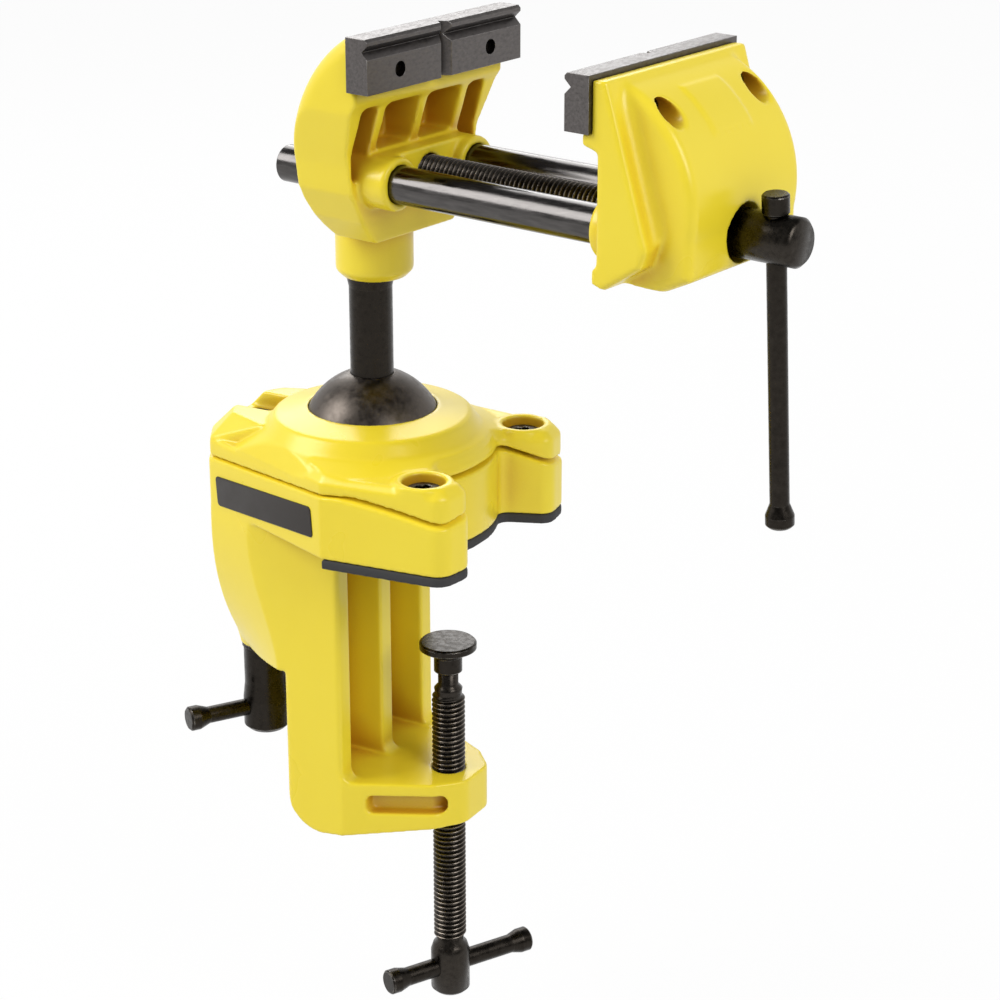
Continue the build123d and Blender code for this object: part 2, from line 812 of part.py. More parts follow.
def clamp_screw():
    """Screw of the bench clamp: pivot and neck, thread, and boss with the cross hole."""
    boss_top = clamp_screw_low + clamp_boss_height
    edge = clamp_boss_radius - clamp_thread_radius
    screw = turned(
        [
            (0, clamp_screw_low),
            (clamp_thread_radius, clamp_screw_low),
            (clamp_boss_radius, clamp_screw_low + edge),
            (clamp_boss_radius, boss_top - clamp_boss_cone),
            (clamp_thread_radius, boss_top),
            (clamp_thread_radius, clamp_thread_top),
            (clamp_neck_radius, clamp_thread_top + clamp_cone),
            (clamp_neck_radius, clamp_pad_top - clamp_pad_skin - run_gap),
            (0, clamp_pad_top - clamp_pad_skin - run_gap),
        ]
    )
    half = clamp_bar_length / 2
    cross = Rot(0, 0, clamp_bar_turn) * bar_x(clamp_bar_radius + run_gap, -half, half, 0, clamp_bar_z)
    return Pos(screw_reach, 0, 0) * (screw - cross)


def clamp_bar():
    """Handle of the clamp screw."""
    half = clamp_bar_length / 2
    bar = tommy_bar(clamp_bar_radius, clamp_knob_radius, clamp_bar_slide - half, clamp_bar_slide + half)
    return Pos(screw_reach, 0, clamp_bar_z) * Rot(0, 0, clamp_bar_turn) * Rot(0, 90, 0) * bar


# Ball joint
def ball():
    """Ball with the hole of the post."""
    return Pos(0, 0, ball_z) * Sphere(ball_radius) - bar_z(
        post_radius + run_gap, ball_z - post_sink - run_gap, ball_z + ball_radius
    )


def post():
    """Round bar from the ball into the socket, flared under the socket."""
    return turned(
        [
            (0, ball_z - post_sink),
            (post_radius, ball_z - post_sink),
            (post_radius, socket_low - post_flare_height),
            (post_radius + post_flare, socket_low),
            (post_radius, socket_low),
            (post_radius, post_top),
            (0, post_top),
        ]
    )


# Head
def jaw_plate(face_x, facing):
    """Grooved jaw plate: gripping face at face_x, facing along plus or minus X."""
    def at(depth, drop):
        return (face_x - facing * depth, jaw_top - drop)

    edge = Polyline(
        at(plate_thickness, 0),
        at(lip_edge, 0),
        at(0, lip_edge),
        at(0, lip_height),
        at(groove_depth, groove_mid),
        at(0, groove_low),
        at(0, plate_height),
        at(plate_thickness, plate_height),
        close=True,
    )
    plate = across(edge, jaw_width / 2)
    notch = make_face(
        Polyline(
            (face_x, v_width / 2),
            (face_x - facing * v_depth, 0),
            (face_x, -v_width / 2),
            close=True,
        )
    )
    plate -= Pos(0, 0, plate_low) * extrude(notch, plate_height)
    back_x = face_x - facing * plate_thickness
    for side in (1, -1):
        hole = sorted((back_x, face_x))
        plate -= bar_x(plate_screw_radius + fit_gap, *hole, side * plate_screw_half, plate_screw_z)
    return plate


def plate_screws(face_x, facing):
    """The two screws that hold a jaw plate from behind."""
    tip = face_x - facing * plate_hole_skin
    seat = tip - facing * plate_screw_length
    back = seat - facing * plate_screw_head_height
    screws = []
    for side in (1, -1):
        y = side * plate_screw_half
        shank = bar_x(plate_screw_radius, *sorted((seat, tip)), y, plate_screw_z)
        head = bar_x(plate_screw_head_radius, *sorted((back, seat)), y, plate_screw_z)
        screws.append(shank + head)
    return screws


def screw_access(face_x, facing, reach):
    """Clearance holes of the plate screws and the scoops that let a screwdriver in."""
    seat = face_x - facing * (plate_hole_skin + plate_screw_length)
    back = seat - facing * reach
    holes = Part()
    for side in (1, -1):
        y = side * plate_screw_half
        holes += bar_x(plate_screw_radius + hole_slack, *sorted((seat, face_x)), y, plate_screw_z)
        holes += bar_x(access_radius, *sorted((back, seat)), y, plate_screw_z)
    return holes


def fixed_side():
    """Side profile of the fixed jaw: round back, chin, ribbed front and plate ledge."""
    z = screw_z
    back_top = (plate_back - crown_depth, jaw_top - crown_drop)
    bulge = (plate_back - back_bulge_depth, z + back_bulge_height)
    back = (plate_back - back_depth, z + back_height)
    ledge_low = plate_low - ledge_height
    front = Polyline(
        back,
        (plate_back - back_low_depth, z - back_low_drop),
        (plate_back - chin_heel_depth, z - chin_heel_drop),
        (chin_back, z - chin_drop),
        (chin_front, z - chin_drop),
        (rib_front, z - jowl_drop),
        (rib_front, z + front_pocket_low),
        (rib_front + rib_lean, ledge_low - ledge_chamfer),
        (ledge_reach, ledge_low),
        (ledge_reach, plate_low),
        (plate_back, plate_low),
        (plate_back, jaw_top - crown_drop),
        back_top,
    )
    return front + ThreePointArc(back_top, bulge, back)


def fixed_front():
    """Front view of the fixed jaw: full width at the plate, drawn in to the socket."""
    half = [
        (casting_half, jaw_top),
        (casting_half, plate_low - ledge_height - ledge_chamfer),
        (cheek_half, screw_z + cheek_rise),
        (cheek_low_half, screw_z - cheek_low_drop),
        (jowl_half, screw_z - jowl_drop),
        (chin_half, screw_z - chin_drop),
    ]
    points = half + [(-y, z) for y, z in reversed(half)]
    return Plane.YZ * make_face(Polyline(*points, close=True))


def front_pockets():
    """Four pockets under the plate, parted by three upright ribs."""
    high = screw_z + front_pocket_high
    inner = (front_rib / 2, front_rib_half - front_rib / 2, screw_z + front_pocket_low)
    outer = (front_rib_half + front_rib / 2, front_pocket_half, screw_z + side_pocket_low)
    depths = (rib_front - front_pocket_depth, rib_front + rib_lean + ledge_chamfer)
    pockets = Part()
    for side in (1, -1):
        for start, end, low in (inner, outer):
            pocket = block(depths, sorted((side * start, side * end)), (low, high))
            pockets += fillet(pocket.edges().filter_by(Axis.X), front_pocket_corner)
    return pockets


def rod_bridge():
    """Web that carries the lead screw, with a round collar about each guide rod."""
    heights = (screw_z - collar_radius, screw_z + collar_radius)
    bridge = block((0, bridge_front), (-rod_half, rod_half), heights)
    for side in (1, -1):
        collar = bar_x(collar_radius, 0, collar_front, side * rod_half, screw_z)
        bridge += fillet(collar.edges().filter_by(GeomType.CIRCLE).sort_by(Axis.X)[-1], collar_edge)
    return bridge


def socket_hub():
    """Upright hub: socket of the post below, dome behind the lead screw above."""
    top = screw_z + hub_rise
    hub = turned(
        [
            (0, socket_low),
            (socket_radius - socket_edge, socket_low),
            (socket_radius, socket_low + socket_edge),
            (socket_radius, top),
            (0, top),
        ]
    )
    return Pos(socket_shift, 0, 0) * (hub + Pos(0, 0, top) * Sphere(socket_radius))


def fixed_jaw():
    """Fixed jaw casting."""
    reach = plate_setback + back_depth
    shield = extrude(fixed_front(), reach, both=True)
    casting = across(fixed_side(), casting_half)
    casting = fillet(casting.edges().filter_by(GeomType.CIRCLE), back_corner)
    ledge = (ledge_reach - same_point, ledge_reach + same_point)
    ledge_lines = casting.edges().filter_by(Axis.Y).filter_by_position(Axis.X, *ledge)
    casting = fillet(ledge_lines, ledge_edge) & shield
    casting = casting + socket_hub() - front_pockets() + rod_bridge()
    casting -= screw_access(plate_setback, 1, reach)
    for side in (1, -1):
        casting -= bar_x(rod_radius + run_gap, -reach, reach, side * rod_half, screw_z)
    casting -= bar_x(lead_radius + free_gap, -reach, reach, 0, screw_z)
    casting -= bar_x(lead_nut_radius + fit_gap, -reach, lead_nut_front, 0, screw_z)
    casting -= bar_z(post_radius + fit_gap, socket_low, post_top)
    return casting


def lead_nut():
    """Threaded bush of the lead screw, pressed into the hub from behind."""
    bush = bar_x(lead_nut_radius, -lead_nut_rear, lead_nut_front, 0, screw_z)
    return bush - bar_x(lead_radius + run_gap, -lead_nut_rear, lead_nut_front, 0, screw_z)


def moving_barrel():
    """Side profile of the barrel back of the moving jaw."""
    def at(depth, drop):
        return (moving_back + depth, jaw_top - drop)

    start = at(barrel_start_depth, barrel_start_drop)
    mid = at(barrel_mid_depth, barrel_mid_drop)
    end = at(barrel_depth, barrel_depth_drop)
    rest = Polyline(
        end,
        at(barrel_depth, barrel_foot_drop),
        at(belly_depth, belly_drop),
        at(flange_face, lip_drop),
        at(flange_face, barrel_start_drop),
        start,
    )
    return rest + ThreePointArc(start, mid, end)


def moving_flange():
    """Side profile of the wedge-shaped flange that carries the moving plate."""
    def at(depth, drop):
        return (moving_back + depth, jaw_top - drop)

    ledge_low = plate_height + moving_ledge_height
    return Polyline(
        at(0, crown_drop),
        at(flange_top, crown_drop),
        at(flange_knee_depth, flange_knee_drop),
        at(flange_heel_depth, flange_heel_drop),
        at(flange_sole_depth, flange_sole_drop),
        at(flange_face - lip_reach, lip_drop),
        at(flange_face - lip_reach, lip_drop - lip_thickness),
        at(flange_face, lip_drop - lip_thickness - lip_reach),
        at(flange_face, ledge_low + flange_face),
        at(-moving_ledge, ledge_low),
        at(-moving_ledge, plate_height),
        at(0, plate_height),
        close=True,
    )


def barrel_line(casting, end):
    """Straight edge across the barrel: -1 where it leaves the flange, 1 at its foot."""
    span = 2 * (barrel_half - barrel_corner)
    lines = [e for e in casting.edges().filter_by(Axis.Y) if abs(e.length - span) < same_point]
    if end < 0:
        return max(lines, key=lambda e: e.center().Z)
    return min(lines, key=lambda e: e.center().Z - e.center().X)


def moving_panel():
    """Slightly raised panel on the barrel, between the two screw scoops."""
    skin = across(moving_barrel(), panel_half)
    low = jaw_top - panel_foot_drop
    high = jaw_top - panel_top_drop
    lift = Pos(panel_rise, 0, panel_rise) * skin
    depths = (moving_back, moving_back + barrel_depth + barrel_half)
    return lift & block(depths, (-panel_half, panel_half), (low, high))


def moving_jaw():
    """Moving jaw casting."""
    barrel = across(moving_barrel(), barrel_half)
    barrel = fillet(outer_edges(barrel, barrel_half, moving_back + barrel_start_depth), barrel_corner)
    flange = across(moving_flange(), casting_half)
    flange = fillet(outer_edges(flange, casting_half, moving_back + flange_face), flange_corner)
    casting = fillet(barrel_line(barrel + flange, -1), barrel_blend)
    casting = fillet(barrel_line(casting, 1), barrel_foot_edge)
    casting += moving_panel()
    boss_front = moving_back - rod_boss_reach
    for side in (1, -1):
        boss = bar_x(rod_boss_radius, boss_front, moving_back + rod_seat, side * rod_half, screw_z)
        casting += fillet(boss.edges().filter_by(GeomType.CIRCLE).sort_by(Axis.X)[0], rod_boss_edge)
    casting -= screw_access(moving_face, -1, barrel_depth + barrel_half)
    shoulder = moving_back + lead_shoulder
    casting -= bar_x(lead_bore_radius, shoulder, moving_back + lead_boss_end, 0, screw_z)
    casting -= bar_x(lead_radius + free_gap, boss_front, shoulder, 0, screw_z)
    ring_seat = moving_back + flange_face - run_gap
    casting -= bar_x(lead_ring_radius + free_gap, boss_front, ring_seat, 0, screw_z)
    pin_low = jaw_top - belly_drop
    for side in (1, -1):
        y = side * rod_half
        casting -= bar_x(rod_radius + fit_gap, boss_front, moving_back + rod_seat, y, screw_z)
        casting -= bar_z(
            rod_pin_radius + fit_gap, pin_low, screw_z + rod_pin_rise, moving_back + rod_seat / 2, y
        )
    return casting


def guide_rod(side):
    """Round guide rod, fixed in the moving jaw and sliding in the fixed one."""
    y = side * rod_half
    rod = bar_x(rod_radius, -rod_tail, moving_back + rod_seat, y, screw_z)
    x = moving_back + rod_seat / 2
    pin = bar_z(rod_pin_radius + fit_gap, screw_z - rod_radius, screw_z + rod_pin_rise, x, y)
    return chamfer(rod.edges(), rod_edge) - pin


def rod_pins():
    """Pins that hold the guide rods in the moving jaw, driven in from below."""
    low = jaw_top - lip_drop
    x = moving_back + rod_seat / 2
    return [bar_z(rod_pin_radius, low, screw_z + rod_pin_rise, x, side * rod_half) for side in (1, -1)]


def lead_screw():
    """Lead screw along X: thread, journal with ring groove, and boss with the cross hole."""
    shoulder = moving_back + lead_shoulder + lead_washer_thickness
    ring_front = moving_back + flange_face - run_gap - lead_ring_thickness
    boss_end = moving_back + lead_boss_end
    screw = bar_x(lead_radius, -lead_tail, ring_front, 0, screw_z)
    screw += bar_x(lead_journal_radius, ring_front, shoulder, 0, screw_z)
    boss = bar_x(lead_boss_radius, shoulder, boss_end, 0, screw_z)
    screw += chamfer(boss.edges().sort_by(Axis.X)[-1], lead_boss_edge)
    groove = bar_x(lead_journal_radius, ring_front, ring_front + lead_ring_thickness, 0, screw_z)
    groove -= bar_x(
        lead_journal_radius - lead_ring_groove, ring_front, ring_front + lead_ring_thickness, 0, screw_z
    )
    cross = bar_z(lead_bar_radius + run_gap, lead_bar_low, lead_bar_top, lead_bar_x)
    return hung(screw - groove - cross)


def lead_ring():
    """Retaining ring in the journal's groove, against the front of the moving jaw."""
    start = moving_back + flange_face - run_gap - lead_ring_thickness
    end = start + lead_ring_thickness
    ring = bar_x(lead_ring_radius, start, end, 0, screw_z)
    return ring - bar_x(lead_journal_radius - lead_ring_groove + fit_gap, start, end, 0, screw_z)


def lead_washer():
    """Thrust washer between the boss and the floor of its bore."""
    start = moving_back + lead_shoulder
    end = start + lead_washer_thickness
    washer = bar_x(lead_washer_radius, start, end, 0, screw_z)
    return washer - bar_x(lead_journal_radius + run_gap, start, end, 0, screw_z)


def hung(piece):
    """Leans a piece of the handle about the lead screw."""
    return Pos(0, 0, screw_z) * Rot(lead_bar_lean, 0, 0) * Pos(0, 0, -screw_z) * piece


def lead_bar():
    """Handle of the lead screw, with a forged knob at its foot."""
    edge = (lead_knob_radius - lead_bar_radius) / 2
    top = lead_cap_low + lead_cap_socket
    bar = turned(
        [
            (0, lead_bar_low),
            (lead_knob_radius - edge, lead_bar_low),
            (lead_knob_radius, lead_bar_low + edge),
            (lead_knob_radius, lead_bar_low + knob_swell),
            (lead_bar_radius, lead_bar_low + knob_length),
            (lead_bar_radius, top),
            (0, top),
        ]
    )
    return hung(Pos(lead_bar_x, 0, 0) * bar)


def lead_bar_cap():
    """Cap pressed on the upper end of the handle, which rests on the boss."""
    edge = (lead_cap_radius - lead_bar_radius) / 2
    cap = turned(
        [
            (0, lead_cap_low),
            (lead_cap_radius - edge, lead_cap_low),
            (lead_cap_radius, lead_cap_low + edge),
            (lead_cap_radius, lead_bar_top - edge),
            (lead_cap_radius - edge, lead_bar_top),
            (0, lead_bar_top),
        ]
    )
    cap -= bar_z(lead_bar_radius + fit_gap, lead_cap_low, lead_cap_low + lead_cap_socket)
    return hung(Pos(lead_bar_x, 0, 0) * cap)


base_place = Pos(-screw_reach, 0, 0)
head_place = base_place * Rot(0, 0, head_turn)


def base_pieces():
    """Every piece of the clamp and the ball's seat."""
    return {
        "clamp_body": clamp_body(),
        "ball_cap": ball_cap(),
        "cap_screws": cap_screws(),
        "bench_pad": bench_pad(),
        "lock_bolt": lock_bolt(),
        "lock_washer": lock_washer(),
        "lock_nut": lock_nut(),
        "lock_bar": lock_bar(),
        "clamp_pad": clamp_pad(),
        "clamp_screw": clamp_screw(),
        "clamp_bar": clamp_bar(),
        "ball_seat": ball_seat(),
    }


def head_pieces():
    """Every piece above the ball's seat."""
    return {
        "ball": ball(),
        "post": post(),
        "fixed_jaw": fixed_jaw(),
        "fixed_jaw_plate": jaw_plate(plate_setback, 1),
        "fixed_plate_screws": plate_screws(plate_setback, 1),
        "lead_nut": lead_nut(),
        "moving_jaw": moving_jaw(),
        "moving_jaw_plate": jaw_plate(moving_face, -1),
        "moving_plate_screws": plate_screws(moving_face, -1),
        "guide_rod_near": guide_rod(-1),
        "guide_rod_far": guide_rod(1),
        "rod_pins": rod_pins(),
        "lead_screw": lead_screw(),
        "lead_ring": lead_ring(),
        "lead_washer": lead_washer(),
        "lead_bar": lead_bar(),
        "lead_bar_cap": lead_bar_cap(),
    }


def write(pieces, place):
    """Writes each piece, or group of like pieces, to a file of its own."""
    for name, shape in pieces.items():
        group = shape if isinstance(shape, list) else [shape]
        solids = [solid for item in group for solid in (place * item).solids()]
        export_step(solids[0] if len(solids) == 1 else Compound(children=solids), f"parts/{name}.step")
        print(name, len(solids), round(sum(solid.volume for solid in solids)))


os.makedirs("parts", exist_ok=True)
write(base_pieces(), base_place)
write(head_pieces(), head_place)
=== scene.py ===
# %% [markdown]
# # A multi-angle bench vise
#
# The real object is a small vise that clamps on the edge of a bench. Four painted castings carry
# dark steel hardware: a ball joint with its post, two guide rods, a lead screw, grooved jaw plates
# and three handle bars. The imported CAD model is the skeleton, and stays exactly where it is. This
# lesson dresses it: castings with soft edges, plates with eased rims, real threads and finishes.

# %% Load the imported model
import json
import math

import bmesh
import bpy
from mathutils import Matrix, Vector


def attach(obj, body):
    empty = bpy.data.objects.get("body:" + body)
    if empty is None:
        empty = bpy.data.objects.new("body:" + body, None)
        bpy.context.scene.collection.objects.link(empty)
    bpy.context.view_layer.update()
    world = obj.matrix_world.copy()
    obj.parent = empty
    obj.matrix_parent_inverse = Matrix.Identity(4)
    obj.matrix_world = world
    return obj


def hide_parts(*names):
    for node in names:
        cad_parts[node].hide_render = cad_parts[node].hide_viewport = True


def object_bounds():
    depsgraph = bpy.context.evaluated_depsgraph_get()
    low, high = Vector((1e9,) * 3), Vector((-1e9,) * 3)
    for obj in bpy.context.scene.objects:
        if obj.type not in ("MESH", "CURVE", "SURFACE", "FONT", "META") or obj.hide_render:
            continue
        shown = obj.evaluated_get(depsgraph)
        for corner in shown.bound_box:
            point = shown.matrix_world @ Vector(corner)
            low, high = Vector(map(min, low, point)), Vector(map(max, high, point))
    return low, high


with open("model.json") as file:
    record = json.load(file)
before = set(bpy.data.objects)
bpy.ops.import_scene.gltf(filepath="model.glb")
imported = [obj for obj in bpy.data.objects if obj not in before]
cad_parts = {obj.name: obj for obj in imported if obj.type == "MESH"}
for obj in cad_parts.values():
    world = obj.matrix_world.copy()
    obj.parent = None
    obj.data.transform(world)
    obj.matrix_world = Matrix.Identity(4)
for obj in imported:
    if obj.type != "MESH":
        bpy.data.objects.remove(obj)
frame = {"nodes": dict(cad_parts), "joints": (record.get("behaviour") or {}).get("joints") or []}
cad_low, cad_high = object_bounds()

MM = 0.001
scene = bpy.context.scene
nodes = frame["nodes"]
joints = {joint["name"]: joint for joint in frame["joints"]}

# %% [markdown]
# ## Camera
#
# A photograph fixes a camera once enough points of the object are known. Here the corners of the
# jaw plates, the rods and the clamp gave the focal length in pixels and the place of the lens.
# A long lens from a metre away keeps upright edges nearly parallel, as in a catalogue picture.

# %% Camera
image_px = 1000
focal_px = 2630.5
sensor_mm = 36.0
camera_data = bpy.data.cameras.new("camera")
camera_data.sensor_width = sensor_mm
camera_data.lens = focal_px * sensor_mm / image_px
camera = bpy.data.objects.new("camera", camera_data)
camera_pitch = 69.086
camera_heading = 29.813
camera.location = Vector((422.2, -701.2, 325.7)) * MM
camera.rotation_euler = (math.radians(camera_pitch), 0, math.radians(camera_heading))
scene.collection.objects.link(camera)
scene.camera = camera
print("lens in mm", round(camera_data.lens, 1))

# %% [markdown]
# ## Node helpers
#
# World, floor, finishes and threads are all trees of nodes. A few nodes come back in each of them,
# so short functions place them: a sum or product, a range, a noise pattern, a comparison of two
# directions, and the kinds of ray that reach a surface. Each takes plain numbers or links.


# %% Node helpers
def plug(tree, value, socket):
    """Puts a number in a socket, or a link when the value comes from another node."""
    if isinstance(value, bpy.types.NodeSocket):
        tree.links.new(value, socket)
    else:
        socket.default_value = value


def math_node(tree, kind, first, second=None):
    """The result of one step of arithmetic."""
    node = tree.nodes.new("ShaderNodeMath")
    node.operation = kind
    plug(tree, first, node.inputs[0])
    if second is not None:
        plug(tree, second, node.inputs[1])
    return node.outputs[0]


def map_range(tree, value, source, target=(0.0, 1.0), curve="LINEAR"):
    """A value taken from one range to another, and kept inside it."""
    node = tree.nodes.new("ShaderNodeMapRange")
    node.interpolation_type = curve
    for label, end in zip(("From Min", "From Max", "To Min", "To Max"), (*source, *target)):
        plug(tree, end, node.inputs[label])
    plug(tree, value, node.inputs["Value"])
    return node.outputs["Result"]


def noise(tree, vector, scale, detail=2.0, roughness=0.5):
    """A noise pattern that runs from 0 to 1."""
    node = tree.nodes.new("ShaderNodeTexNoise")
    node.inputs["Detail"].default_value = detail
    node.inputs["Roughness"].default_value = roughness
    plug(tree, vector, node.inputs["Vector"])
    plug(tree, scale, node.inputs["Scale"])
    return node.outputs["Fac"]


def dot_product(tree, first, second):
    """How far two directions agree: 1 when they are the same."""
    node = tree.nodes.new("ShaderNodeVectorMath")
    node.operation = "DOT_PRODUCT"
    plug(tree, first, node.inputs[0])
    plug(tree, second, node.inputs[1])
    return node.outputs["Value"]


def ray_kinds(tree):
    """Whether a ray comes from the camera, and whether it comes from a mirroring surface."""
    rays = tree.nodes.new("ShaderNodeLightPath").outputs
    mirror = math_node(tree, "MAXIMUM", rays["Is Glossy Ray"], rays["Is Transmission Ray"])
    return rays["Is Camera Ray"], mirror


# %% [markdown]
# ## Light and floor
#
# Glossy paint and dark steel are read by what they mirror, so the lamps are large soft panels. The
# world is a grey that fills the shadows, and is white for the camera. Steel mirrors a studio: a
# white cove behind the vise, a dim room behind the photographer and a dim ceiling. That contrast
# is what makes black steel look round. The floor is white but still keeps the shadow of the vise. It
# lies lower than the vise at rest, because the clamp screw comes down 24 mm when it is opened.

# %% World
scene.view_settings.view_transform = "Standard"
fill_level = 0.42
ceiling_level = 0.16
room_level = 0.24
cove_level = 1.0
room_to_cove = (-0.75, 0.25)
cove_to_ceiling = (0.35, 0.85)
cove_heading = math.radians(29.8)
world = bpy.data.worlds.new("studio")
world.use_nodes = True
scene.world = world
sky = world.node_tree
sky.nodes.clear()
direction = sky.nodes.new("ShaderNodeTexCoord").outputs["Generated"]
towards_cove = (-math.sin(cove_heading), math.cos(cove_heading), 0)
facing = dot_product(sky, direction, towards_cove)
split = sky.nodes.new("ShaderNodeSeparateXYZ")
sky.links.new(direction, split.inputs[0])
room = map_range(sky, facing, room_to_cove, (room_level, cove_level), "SMOOTHSTEP")
studio = map_range(sky, split.outputs["Z"], cove_to_ceiling, (room, ceiling_level), "SMOOTHSTEP")
from_camera, from_mirror = ray_kinds(sky)
mirrored = map_range(sky, from_mirror, (0.0, 1.0), (fill_level, studio), "SMOOTHSTEP")
shown = map_range(sky, from_camera, (0.0, 1.0), (mirrored, 1.0), "SMOOTHSTEP")
backdrop = sky.nodes.new("ShaderNodeBackground")
backdrop.inputs["Color"].default_value = (1, 1, 1, 1)
sky.links.new(shown, backdrop.inputs["Strength"])
out = sky.nodes.new("ShaderNodeOutputWorld")
sky.links.new(backdrop.outputs[0], out.inputs["Surface"])
print("fill light", fill_level)


# %% Lamps
def soft_panel(name, place, target, size, watts):
    """A square area lamp that looks at a point."""
    lamp = bpy.data.lights.new(name, "AREA")
    lamp.size = size
    lamp.energy = watts
    panel = bpy.data.objects.new(name, lamp)
    panel.location = place
    panel.rotation_euler = (Vector(target) - Vector(place)).to_track_quat("-Z", "Y").to_euler()
    scene.collection.objects.link(panel)


middle = (cad_low + cad_high) / 2
soft_panel("key_panel", (-1.15, -0.85, 1.1), middle, size=1.0, watts=20)
soft_panel("side_panel", (1.3, -0.4, 0.9), middle, size=0.8, watts=11)
soft_panel("back_panel", (-0.85, 1.05, 0.9), middle, size=0.9, watts=9)

# %% Floor
floor_half = 4.0
floor_drop = 26 * MM
floor_z = cad_low.z - floor_drop
floor_mesh = bpy.data.meshes.new("floor")
corners = [(-floor_half, -floor_half), (floor_half, -floor_half)]
corners += [(floor_half, floor_half), (-floor_half, floor_half)]
floor_mesh.from_pydata([(x, y, floor_z) for x, y in corners], [], [(0, 1, 2, 3)])
floor = bpy.data.objects.new("floor", floor_mesh)
scene.collection.objects.link(floor)

# %% Floor paper
paper_grey = 0.6
paper_roughness = 0.9
glow_strength = 1.02
glow_share = 0.93
floor_paper = bpy.data.materials.new("floor_paper")
floor_paper.use_nodes = True
paper = floor_paper.node_tree
matt = paper.nodes["Principled BSDF"]
matt.inputs["Base Color"].default_value = (paper_grey, paper_grey, paper_grey, 1)
matt.inputs["Roughness"].default_value = paper_roughness
glow = paper.nodes.new("ShaderNodeEmission")
glow.inputs["Strength"].default_value = glow_strength
from_camera, from_mirror = ray_kinds(paper)
seen = math_node(paper, "MAXIMUM", from_camera, from_mirror)
mixed = paper.nodes.new("ShaderNodeMixShader")
paper.links.new(math_node(paper, "MULTIPLY", seen, glow_share), mixed.inputs[0])
paper.links.new(matt.outputs[0], mixed.inputs[1])
paper.links.new(glow.outputs[0], mixed.inputs[2])
paper.links.new(mixed.outputs[0], paper.nodes["Material Output"].inputs["Surface"])
floor_mesh.materials.append(floor_paper)
print("floor at mm", round(floor_z / MM, 1))

# %% [markdown]
# ## Shared effects
#
# Four effects are node groups made once: the skin of a sprayed surface, the lines a tool leaves on
# steel, the wear and painted highlight that follow edges, and painted shade that darkens inside corners.
# A group gives only values that change over the surface. Plain numbers go on the shader itself.


# %% Group helper
def new_group(name, inputs, outputs):
    """An empty shader group, with the sockets of its start and end nodes."""
    group = bpy.data.node_groups.new(name, "ShaderNodeTree")
    for label, kind in inputs:
        group.interface.new_socket(name=label, in_out="INPUT", socket_type=kind)
    for label, kind in outputs:
        group.interface.new_socket(name=label, in_out="OUTPUT", socket_type=kind)
    start = group.nodes.new("NodeGroupInput")
    end = group.nodes.new("NodeGroupOutput")
    return group, start.outputs, end.inputs


FLOAT = "NodeSocketFloat"
VECTOR = "NodeSocketVector"
noise_range = (0.3, 0.7)  # where most of a noise pattern lies

# %% Sprayed skin
sprayed_skin, given, wanted = new_group(
    "sprayed_skin",
    [("Vector", VECTOR), ("Peel Scale", FLOAT), ("Patch Scale", FLOAT)],
    [("Height", FLOAT), ("Patch", FLOAT)],
)
peel = noise(sprayed_skin, given["Vector"], given["Peel Scale"])
patch = noise(sprayed_skin, given["Vector"], given["Patch Scale"], detail=3.0)
sprayed_skin.links.new(peel, wanted["Height"])
sprayed_skin.links.new(patch, wanted["Patch"])
print("group", sprayed_skin.name)

# %% Tool lines
tool_lines, given, wanted = new_group(
    "tool_lines",
    [("Vector", VECTOR), ("Scale", FLOAT)],
    [("Height", FLOAT), ("Line", FLOAT)],
)
fine_lines = noise(tool_lines, given["Vector"], given["Scale"], detail=4.0, roughness=0.65)
tool_lines.links.new(fine_lines, wanted["Height"])
tool_lines.links.new(map_range(tool_lines, fine_lines, noise_range), wanted["Line"])
print("group", tool_lines.name)

# %% Edge wear and painted highlight
flat_agreement = 0.995  # faces that agree more than this show no wear
break_range = (0.35, 0.65)
edge_wear_and_highlight, given, wanted = new_group(
    "edge_wear_and_highlight",
    [("Vector", VECTOR), ("Radius", FLOAT), ("Full", FLOAT), ("Break Scale", FLOAT)],
    [("Wear And Highlight", FLOAT), ("Eased", VECTOR)],
)
# The paler edges this group gives are partly wear and partly a painted highlight.
eased = edge_wear_and_highlight.nodes.new("ShaderNodeBevel")
eased.samples = 6
edge_wear_and_highlight.links.new(given["Radius"], eased.inputs["Radius"])
true_face = edge_wear_and_highlight.nodes.new("ShaderNodeNewGeometry")
agreement = dot_product(edge_wear_and_highlight, eased.outputs["Normal"], true_face.outputs["Normal"])
rubbed_and_lit = map_range(edge_wear_and_highlight, agreement, (flat_agreement, given["Full"]))
breaks = noise(edge_wear_and_highlight, given["Vector"], given["Break Scale"], detail=3.0)
broken = map_range(edge_wear_and_highlight, breaks, break_range)
edge_wear_and_highlight.links.new(math_node(edge_wear_and_highlight, "MULTIPLY", rubbed_and_lit, broken), wanted["Wear And Highlight"])
edge_wear_and_highlight.links.new(eased.outputs["Normal"], wanted["Eased"])
print("group", edge_wear_and_highlight.name)

# %% Painted shade in inside corners
open_to_closed = (0.85, 0.45)  # share of open sky where the painted shade starts and where it is full
shade_patch_range = (0.75, 1.0)
corner_shade, given, wanted = new_group(
    "corner_shade",
    [("Vector", VECTOR), ("Reach", FLOAT), ("Patch Scale", FLOAT)],
    [("Painted Shade", FLOAT)],
)
